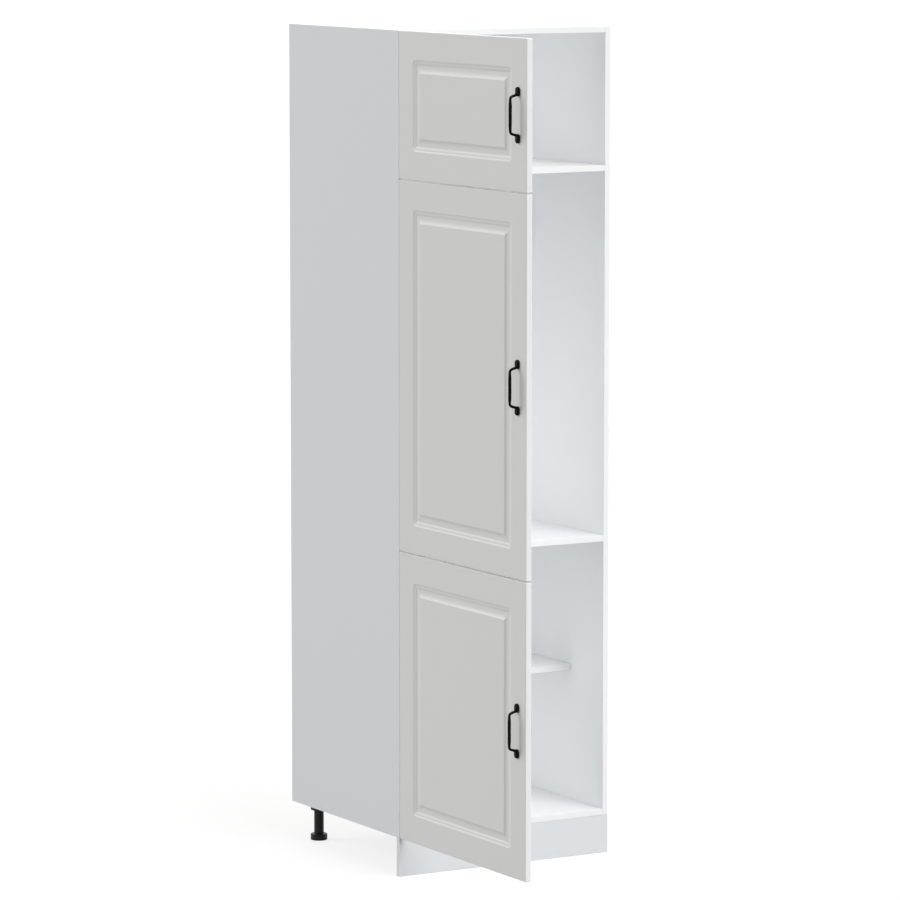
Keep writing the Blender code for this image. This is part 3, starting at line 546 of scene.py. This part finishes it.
def door_form(low, high):
    """The routed board, its outer face towards -X, from rings between its two faces."""
    levels = []
    steps = 5
    rounding = [math.radians(90) * step / steps for step in range(steps + 1)]
    for angle in rounding:
        inset = DOOR_EDGE_RADIUS * (1 - math.sin(angle))
        across = high.x - DOOR_EDGE_RADIUS * (1 - math.cos(angle))
        levels.append((inset, across, DOOR_CORNER_RADIUS - inset))
    for angle in rounding:
        inset = DOOR_EDGE_RADIUS * (1 - math.cos(angle))
        across = low.x + DOOR_EDGE_RADIUS * (1 - math.sin(angle))
        levels.append((inset, across, DOOR_CORNER_RADIUS - inset))
    for offset, depth in softened(moulding_steps):
        levels.append((FRAME_WIDTH + offset, low.x + depth, FRAME_CORNER_RADIUS - offset))
    form = bmesh.new()
    loops = []
    for inset, across, radius in levels:
        ring = corner_ring((low.y + inset, low.z + inset), (high.y - inset, high.z - inset),
                           max(radius, SHARPEST_CORNER))
        loops.append([form.verts.new((across, deep, up)) for deep, up in ring])
    skinned(form, loops)
    return form


def pressed_foil(name, door):
    """Satin foil, painted paler and bluer on the upright edges for the light that falls on them, and the line
    where it ends inside.
    """
    low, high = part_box(door)
    made, tree, shader = material_for(name)
    skin = use(tree, pearl_print, Pebble=380.0, Cloud=1.8, Depth=0.015)
    reach = use(tree, edge_reach, Low=low, High=high)["Reach"]
    across, deep, _ = node(tree, "ShaderNodeSeparateXYZ", {0: place_in_object(tree)}).outputs
    inner_face = calc(tree, "GREATER_THAN", across, high.x - FACE_SKIN)
    wrapped = calc(tree, "LESS_THAN", reach, FOIL_WRAP)
    off_line = calc(tree, "ABSOLUTE", calc(tree, "SUBTRACT", reach, FOIL_WRAP))
    line = calc(tree, "LESS_THAN", off_line, FOIL_END_LINE)
    from_sides = calc(tree, "MINIMUM", calc(tree, "SUBTRACT", deep, low.y),
                      calc(tree, "SUBTRACT", high.y, deep))
    # Within the rounding of the upright edges the colour turns to the painted lit white.
    off_upright_edges = calc(tree, "MULTIPLY", from_sides, 1 / DOOR_EDGE_RADIUS, clamp=True)
    colour = scaled_colour(tree, mixed(tree, off_upright_edges, EDGE_LIT_WHITE, FOIL_WHITE), skin["Shade"])
    back = mixed(tree, wrapped, MELAMINE_WHITE, colour)
    back = mixed(tree, calc(tree, "MULTIPLY", line, 0.5), back, GLUE_LINE)
    colour = mixed(tree, inner_face, colour, back)
    feed(tree, shader, colour, calc(tree, "MULTIPLY_ADD", skin["Patch"], 0.08, 0.34), skin["Height"],
         relief=0.00002)
    shader.inputs["Specular IOR Level"].default_value = 0.4
    return made


def loose_form(name, form):
    """A form as an object of its own while something is cut, no piece of the cabinet."""
    made = bpy.data.objects.new(name, pattern_mesh(name, form))
    bpy.context.scene.collection.objects.link(made)
    return made


def drilled(door_board, cups):
    """Cuts the blind bores for the hinge cups into a door."""
    for cup in cups:
        low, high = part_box(cup)
        middle = (low + high) / 2
        bore = scaled([(0, 0), (1, 0), (1, 1), (0, 1)], CUP_BORE_RADIUS, CUP_BORE_DEPTH)
        tool = loose_form("cup_bore", spun(bore, sides=48))
        start = Matrix.Translation((low.x - BORE_OVERRUN, middle.y, middle.z))
        tool.matrix_world = start @ turned_to((1, 0, 0))
        cut = door_board.modifiers.new("bore", "BOOLEAN")
        cut.operation, cut.solver, cut.object = "DIFFERENCE", "EXACT", tool
        bpy.context.view_layer.update()
        with bpy.context.temp_override(object=door_board, active_object=door_board):
            bpy.ops.object.modifier_apply(modifier="bore")
        bpy.data.objects.remove(tool, do_unlink=True)


for label in ("lower", "middle", "upper"):
    door = f"door_{label}"
    foil = pressed_foil(f"foil_{label}", door)
    board = shown(f"{door}_board", door_form(*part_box(door)), foil, door)
    drilled(board, [f"hinge_cup_{label}_bottom", f"hinge_cup_{label}_top"])
    board.modifiers.new("even_faces", "WEIGHTED_NORMAL").keep_sharp = True
    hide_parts(door)

# Handles: zinc castings in black lacquer. Each bow swells in the middle and runs into two domed oval feet, which
# machine screws from inside the door pull against its face.

HANDLE_SCREW_SPACING = 0.096
HANDLE_REACH = 0.0220
HANDLE_GRIP_RADIUS = 0.0040
HANDLE_ARM_RADIUS = 0.0032
HANDLE_SHOULDER = 0.0420
HANDLE_BEND = 0.0065
HANDLE_SWELL_START = 0.022
HANDLE_SWELL_END = 0.037
HANDLE_FOOT_REACH = 0.0008
PAD_LENGTH = 0.0220
PAD_WIDTH = 0.0155
PAD_RISE = 0.0062
PAD_SIDES = 36
CASTING_VOXEL = 0.0004
FILLET_PASSES = 8


def black_lacquer():
    """Sprayed black lacquer with a slight orange peel."""
    made, tree, shader = material_for("black_lacquer_coat")
    skin = use(tree, pearl_print, Pebble=700.0, Cloud=40.0, Depth=0.2)
    feed(tree, shader, scaled_colour(tree, (0.0022, 0.0022, 0.0022, 1), skin["Shade"]),
         calc(tree, "MULTIPLY_ADD", skin["Patch"], 0.10, 0.34), skin["Height"], relief=0.00003)
    shader.inputs["Specular IOR Level"].default_value = 0.06
    return made


def bow_line(parts=8):
    """Points (out from the door, up) along the upper half of the bow, from its foot to its middle."""
    foot = Vector((HANDLE_FOOT_REACH, HANDLE_SCREW_SPACING / 2))
    shoulder = Vector((HANDLE_REACH, HANDLE_SHOULDER))
    middle = Vector((HANDLE_REACH, 0))
    rise, run = (foot - shoulder).normalized(), (middle - shoulder).normalized()
    start, end = shoulder + rise * HANDLE_BEND, shoulder + run * HANDLE_BEND
    line = [foot.lerp(start, part / parts) for part in range(parts)]
    for part in range(parts + 1):
        share = part / parts
        line.append(start.lerp(shoulder, share).lerp(shoulder.lerp(end, share), share))
    line += [end.lerp(middle, part / (2 * parts)) for part in range(1, 2 * parts + 1)]
    return line


def bow_radius(height):
    """The rod's radius at a height above the bow's middle: thick in the middle, thin at the arms."""
    taper = (abs(height) - HANDLE_SWELL_START) / (HANDLE_SWELL_END - HANDLE_SWELL_START)
    taper = min(max(taper, 0), 1)
    ease = taper * taper * (3 - 2 * taper)
    return HANDLE_GRIP_RADIUS + (HANDLE_ARM_RADIUS - HANDLE_GRIP_RADIUS) * ease


def tube(form, line, sides=20):
    """A closed rod along points (out, up), added to a form."""
    loops = []
    for index, place in enumerate(line):
        after, before = line[min(index + 1, len(line) - 1)], line[max(index - 1, 0)]
        run = (after - before).normalized()
        radius = bow_radius(place.y)
        ring = []
        for side in range(sides):
            angle = math.tau * side / sides
            outward = radius * math.cos(angle)
            ring.append(form.verts.new((-place.x + run.y * outward, radius * math.sin(angle),
                                        place.y + run.x * outward)))
        loops.append(ring)
    skinned(form, loops)


def pad(form, middle):
    """A domed oval foot, added to a form."""
    loops = []
    straight = (PAD_LENGTH - PAD_WIDTH) / 2
    dome_shares = [(1, -0.05), (1, 0.45), (0.96, 0.66), (0.86, 0.84), (0.70, 0.95), (0.45, 1.0)]
    for radius, rise in scaled(dome_shares, PAD_WIDTH / 2, PAD_RISE):
        ring = []
        for turn in range(PAD_SIDES):
            angle = math.tau * turn / PAD_SIDES
            end = straight if math.sin(angle) > 0 else -straight
            ring.append(form.verts.new((-rise, radius * math.cos(angle),
                                        middle + end + radius * math.sin(angle))))
        loops.append(ring)
    skinned(form, loops)


lacquer = black_lacquer()
for label in ("lower", "middle", "upper"):
    low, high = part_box(f"handle_{label}")
    form = bmesh.new()
    half = bow_line()
    tube(form, half + [Vector((place.x, -place.y)) for place in reversed(half[:-1])])
    for end in (1, -1):
        pad(form, end * (high.z - low.z - PAD_LENGTH) / 2)
    middle = (low + high) / 2
    bmesh.ops.translate(form, vec=(high.x, middle.y, middle.z), verts=form.verts)
    bow = shown(f"handle_{label}_bow", form, lacquer, f"door_{label}",
                sharp=math.radians(180))
    cast = bow.modifiers.new("one_casting", "REMESH")
    cast.mode, cast.voxel_size, cast.use_smooth_shade = "VOXEL", CASTING_VOXEL, True
    bow.modifiers.new("cast_fillets", "SMOOTH").iterations = FILLET_PASSES
    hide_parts(f"handle_{label}")

# Concealed hinges: nickel-plated steel pressings. The cup is screwed in the door, the arm clips on a plate that is
# screwed to the side panel, and cross-slot screws adjust it.

for name in cabinet:
    if name.startswith("hinge_"):
        dress(name, nickel)


def screw_head(radius, rise):
    """A domed screw head with a cross recess, its seat at zero and its axis up."""
    head_shares = [(0, -0.3), (0.9, -0.3), (1, 0), (0.97, 0.4), (0.8, 0.75), (0.45, 0.96), (0, 1)]
    head = loose_form("screw_head", spun(scaled(head_shares, radius, rise), sides=24))
    cross = bmesh.new()
    slot_size = Matrix.Diagonal((radius * 1.1, radius * 0.26, rise * 1.2, 1))
    for turn in (0, 90):
        earlier = len(cross.verts)
        bmesh.ops.create_cube(cross, size=1.0)
        cross.verts.ensure_lookup_table()
        bmesh.ops.transform(cross, matrix=Matrix.Rotation(math.radians(turn), 4, "Z") @ slot_size,
                            verts=cross.verts[earlier:])
    bmesh.ops.translate(cross, vec=(0, 0, rise * 0.95), verts=cross.verts)
    tool = loose_form("cross_recess", cross)
    cut = head.modifiers.new("recess", "BOOLEAN")
    cut.operation, cut.solver, cut.object, cut.use_self = "DIFFERENCE", "EXACT", tool, True
    bpy.context.view_layer.update()
    shape = bpy.data.meshes.new_from_object(head.evaluated_get(bpy.context.evaluated_depsgraph_get()))
    bpy.data.objects.remove(head, do_unlink=True)
    bpy.data.objects.remove(tool, do_unlink=True)
    return shape


CUP_SCREW_SPREAD = 0.024
CUP_SCREW_OFFSET = 0.0065
CUP_SCREW_SINK = 0.0001
PLATE_SCREW_SPREAD = 0.016
PLATE_WING_RISE = 0.0020
ARM_SCREW_OFFSETS = (-0.015, 0.014)
screw = screw_head(radius=0.0035, rise=0.0016)
for label in ("lower", "middle", "upper"):
    for end in ("bottom", "top"):
        low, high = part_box(f"hinge_cup_{label}_{end}")
        middle = (low + high) / 2
        places = [Vector((high.x - CUP_SCREW_SINK, middle.y - CUP_SCREW_OFFSET,
                          middle.z + side * CUP_SCREW_SPREAD)) for side in (-1, 1)]
        copies(f"cup_screws_{label}_{end}", screw, places, (1, 0, 0), nickel,
               f"door_{label}")
        low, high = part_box(f"hinge_plate_{label}_{end}")
        middle = (low + high) / 2
        places = [Vector((low.x + PLATE_WING_RISE, middle.y, middle.z + side * PLATE_SCREW_SPREAD))
                  for side in (-1, 1)]
        arm_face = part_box(f"hinge_arm_{label}_{end}")[1].x
        places += [Vector((arm_face, middle.y + offset, middle.z)) for offset in ARM_SCREW_OFFSETS]
        copies(f"plate_screws_{label}_{end}", screw, places, (1, 0, 0), nickel,
               "carcass")

# Handle screws and door bumpers: two machine screws come through each door into its handle, and two soft
# plastic domes near the free edge quieten the door.

BUMPER_RADIUS = 0.0040
BUMPER_RISE = 0.0024
BUMPER_FROM_SIDE = 0.0065
BUMPER_FROM_END = 0.020
handle_screw = screw_head(radius=0.0040, rise=0.0020)
bumper_shares = [(0, 0), (1, 0), (1, 0.3), (0.9, 0.62), (0.68, 0.87), (0.35, 0.98), (0, 1)]
bumper = pattern_mesh("bumper", spun(scaled(bumper_shares, BUMPER_RADIUS, BUMPER_RISE), sides=24))
for label in ("lower", "middle", "upper"):
    door_low, door_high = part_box(f"door_{label}")
    low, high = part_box(f"handle_{label}")
    middle = (low + high) / 2
    places = [Vector((door_high.x, middle.y, middle.z + side * HANDLE_SCREW_SPACING / 2))
              for side in (-1, 1)]
    copies(f"handle_screws_{label}", handle_screw, places, (1, 0, 0), nickel,
           f"door_{label}")
    places = [Vector((door_high.x, door_low.y + BUMPER_FROM_SIDE, z))
              for z in (door_low.z + BUMPER_FROM_END, door_high.z - BUMPER_FROM_END)]
    copies(f"bumpers_{label}", bumper, places, (1, 0, 0), white_plastic,
           f"door_{label}")

# Leg screws: four short plated screws, the same as the hinges', hold each leg's plate to the underside of the
# bottom panel.

LEG_PLATE_THICKNESS = 0.0043
LEG_SCREW_OFFSET = 0.0195
plate_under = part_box("bottom_panel")[0].z - LEG_PLATE_THICKNESS
for corner in ("front_left", "front_right", "rear_left", "rear_right"):
    low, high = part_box(f"leg_{corner}")
    middle = (low + high) / 2
    places = [Vector((middle.x + x, middle.y + y, plate_under))
              for x in (-LEG_SCREW_OFFSET, LEG_SCREW_OFFSET)
              for y in (-LEG_SCREW_OFFSET, LEG_SCREW_OFFSET)]
    copies(f"leg_screws_{corner}", screw, places, (0, 0, -1), nickel, "carcass")

# Studio: a wide pale floor that keeps a soft shadow, a white sky, five large soft lamps and a faint upright lamp
# in each compartment. The floor and the sky look brighter than the light that they give.

FLOOR_REACH = 90.0
floor_form = bmesh.new()
floor_form.faces.new([floor_form.verts.new((x * FLOOR_REACH, y * FLOOR_REACH, 0))
                      for x, y in ((-1, -1), (1, -1), (1, 1), (-1, 1))])
floor_mesh = bpy.data.meshes.new("studio_floor")
floor_form.to_mesh(floor_mesh)
floor_form.free()
floor = bpy.data.objects.new("studio_floor", floor_mesh)
bpy.context.scene.collection.objects.link(floor)


def seen_directly(tree):
    """One for rays from the camera, or from metal and glass, and zero for the rest."""
    path = node(tree, "ShaderNodeLightPath").outputs
    direct = calc(tree, "MAXIMUM", path["Is Camera Ray"], path["Is Glossy Ray"])
    return calc(tree, "MAXIMUM", direct, path["Is Transmission Ray"])


floor_paint, tree, shader = material_for("studio_floor_paint")
shader.inputs["Base Color"].default_value = (0.20, 0.20, 0.20, 1)
shader.inputs["Roughness"].default_value = 0.9
shader.inputs["Specular IOR Level"].default_value = 0.0
seen = node(tree, "ShaderNodeBsdfPrincipled", {
    "Base Color": (0.25, 0.25, 0.25, 1), "Roughness": 0.9, "Specular IOR Level": 0.0,
    "Emission Color": (1, 1, 1, 1), "Emission Strength": 0.80})
floor_mix = node(tree, "ShaderNodeMixShader", {0: seen_directly(tree), 1: shader.outputs[0],
                                               2: seen.outputs[0]})
tree.links.new(floor_mix.outputs[0], tree.nodes["Material Output"].inputs["Surface"])
floor_mesh.materials.append(floor_paint)

world = bpy.data.worlds.new("studio_sky")
bpy.context.scene.world = world
world.use_nodes = True
tree = world.node_tree
sky = tree.nodes["Background"]
sky.inputs["Color"].default_value = (1, 1, 1, 1)
SKY_LIGHT = 0.25
brightness = calc(tree, "MULTIPLY_ADD", seen_directly(tree), 1 - SKY_LIGHT, SKY_LIGHT)
tree.links.new(brightness, sky.inputs["Strength"])


def lamp(name, azimuth, elevation, strength, spread=40):
    """A distant soft lamp; azimuth is degrees round from the cabinet's front, to its right."""
    light = bpy.data.lights.new(name, "SUN")
    light.angle = math.radians(spread)
    light.energy = strength * math.pi
    made = bpy.data.objects.new(name, light)
    bpy.context.scene.collection.objects.link(made)
    around, up = math.radians(azimuth), math.radians(elevation)
    towards = Vector((math.sin(around) * math.cos(up), -math.cos(around) * math.cos(up), math.sin(up)))
    made.rotation_mode = "QUATERNION"
    made.rotation_quaternion = (-towards).to_track_quat("-Z", "Y")


lamp("left_lamp", -128, 24, 0.538)
lamp("front_lamp", 14, 28, 0.552)
lamp("right_lamp", 60, 10, 0.435)
lamp("top_lamp", 15, 74, 0.200)
lamp("rear_lamp", 150, 30, 0.155)

# These stand beside the left panel and give back the light that white boards pass on to each other.
LAMP_FROM_PANEL = 0.016
LAMP_MARGIN = 0.013
LAMP_DEPTH = 0.38
LAMP_FROM_REAR = 0.10
WARM_WHITE = (1.0, 0.982, 0.965)
boards_upwards = ["bottom_panel", "adjustable_shelf", "middle_shelf", "upper_shelf", "top_panel"]
compartment_power = [0.238, 0.305, 0.412, 0.320]
panel_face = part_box("side_panel_left")[1].x
back_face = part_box("back_panel_lower")[0].y
for below, above, power in zip(boards_upwards, boards_upwards[1:], compartment_power):
    bottom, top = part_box(below)[1].z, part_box(above)[0].z
    glow = bpy.data.lights.new(f"lamp_over_{below}", "AREA")
    glow.color = WARM_WHITE
    glow.shape, glow.energy = "RECTANGLE", power
    glow.size, glow.size_y = LAMP_DEPTH, top - bottom - 2 * LAMP_MARGIN
    glow_lamp = bpy.data.objects.new(f"lamp_over_{below}", glow)
    bpy.context.scene.collection.objects.link(glow_lamp)
    glow_lamp.location = (panel_face + LAMP_FROM_PANEL, back_face - LAMP_FROM_REAR - LAMP_DEPTH / 2,
                          (bottom + top) / 2)
    glow_lamp.rotation_mode = "QUATERNION"
    glow_lamp.rotation_quaternion = Vector((1, 0, 0)).to_track_quat("-Z", "Y")
    glow_lamp.visible_camera = False
bpy.context.scene.cycles.diffuse_bounces = 10
bpy.context.scene.view_settings.view_transform = "Standard"

# Camera: a long lens, a little above the cabinet and to its left, at the photograph's viewing angle. It has no
# shift, and its place and turn were fitted to the cabinet's corners in the photograph.

eye = bpy.data.objects.new("camera", bpy.data.cameras.new("camera"))
bpy.context.scene.collection.objects.link(eye)
bpy.context.scene.camera = eye
eye.location = (-6.0421, -10.1396, 2.4748)
turn, dip = math.radians(30.132), math.radians(6.932)
ahead = Vector((math.sin(turn) * math.cos(dip), math.cos(turn) * math.cos(dip), -math.sin(dip)))
eye.rotation_mode = "QUATERNION"
eye.rotation_quaternion = ahead.to_track_quat("-Z", "Y")
eye.data.lens = 193.92
eye.data.clip_end = 300
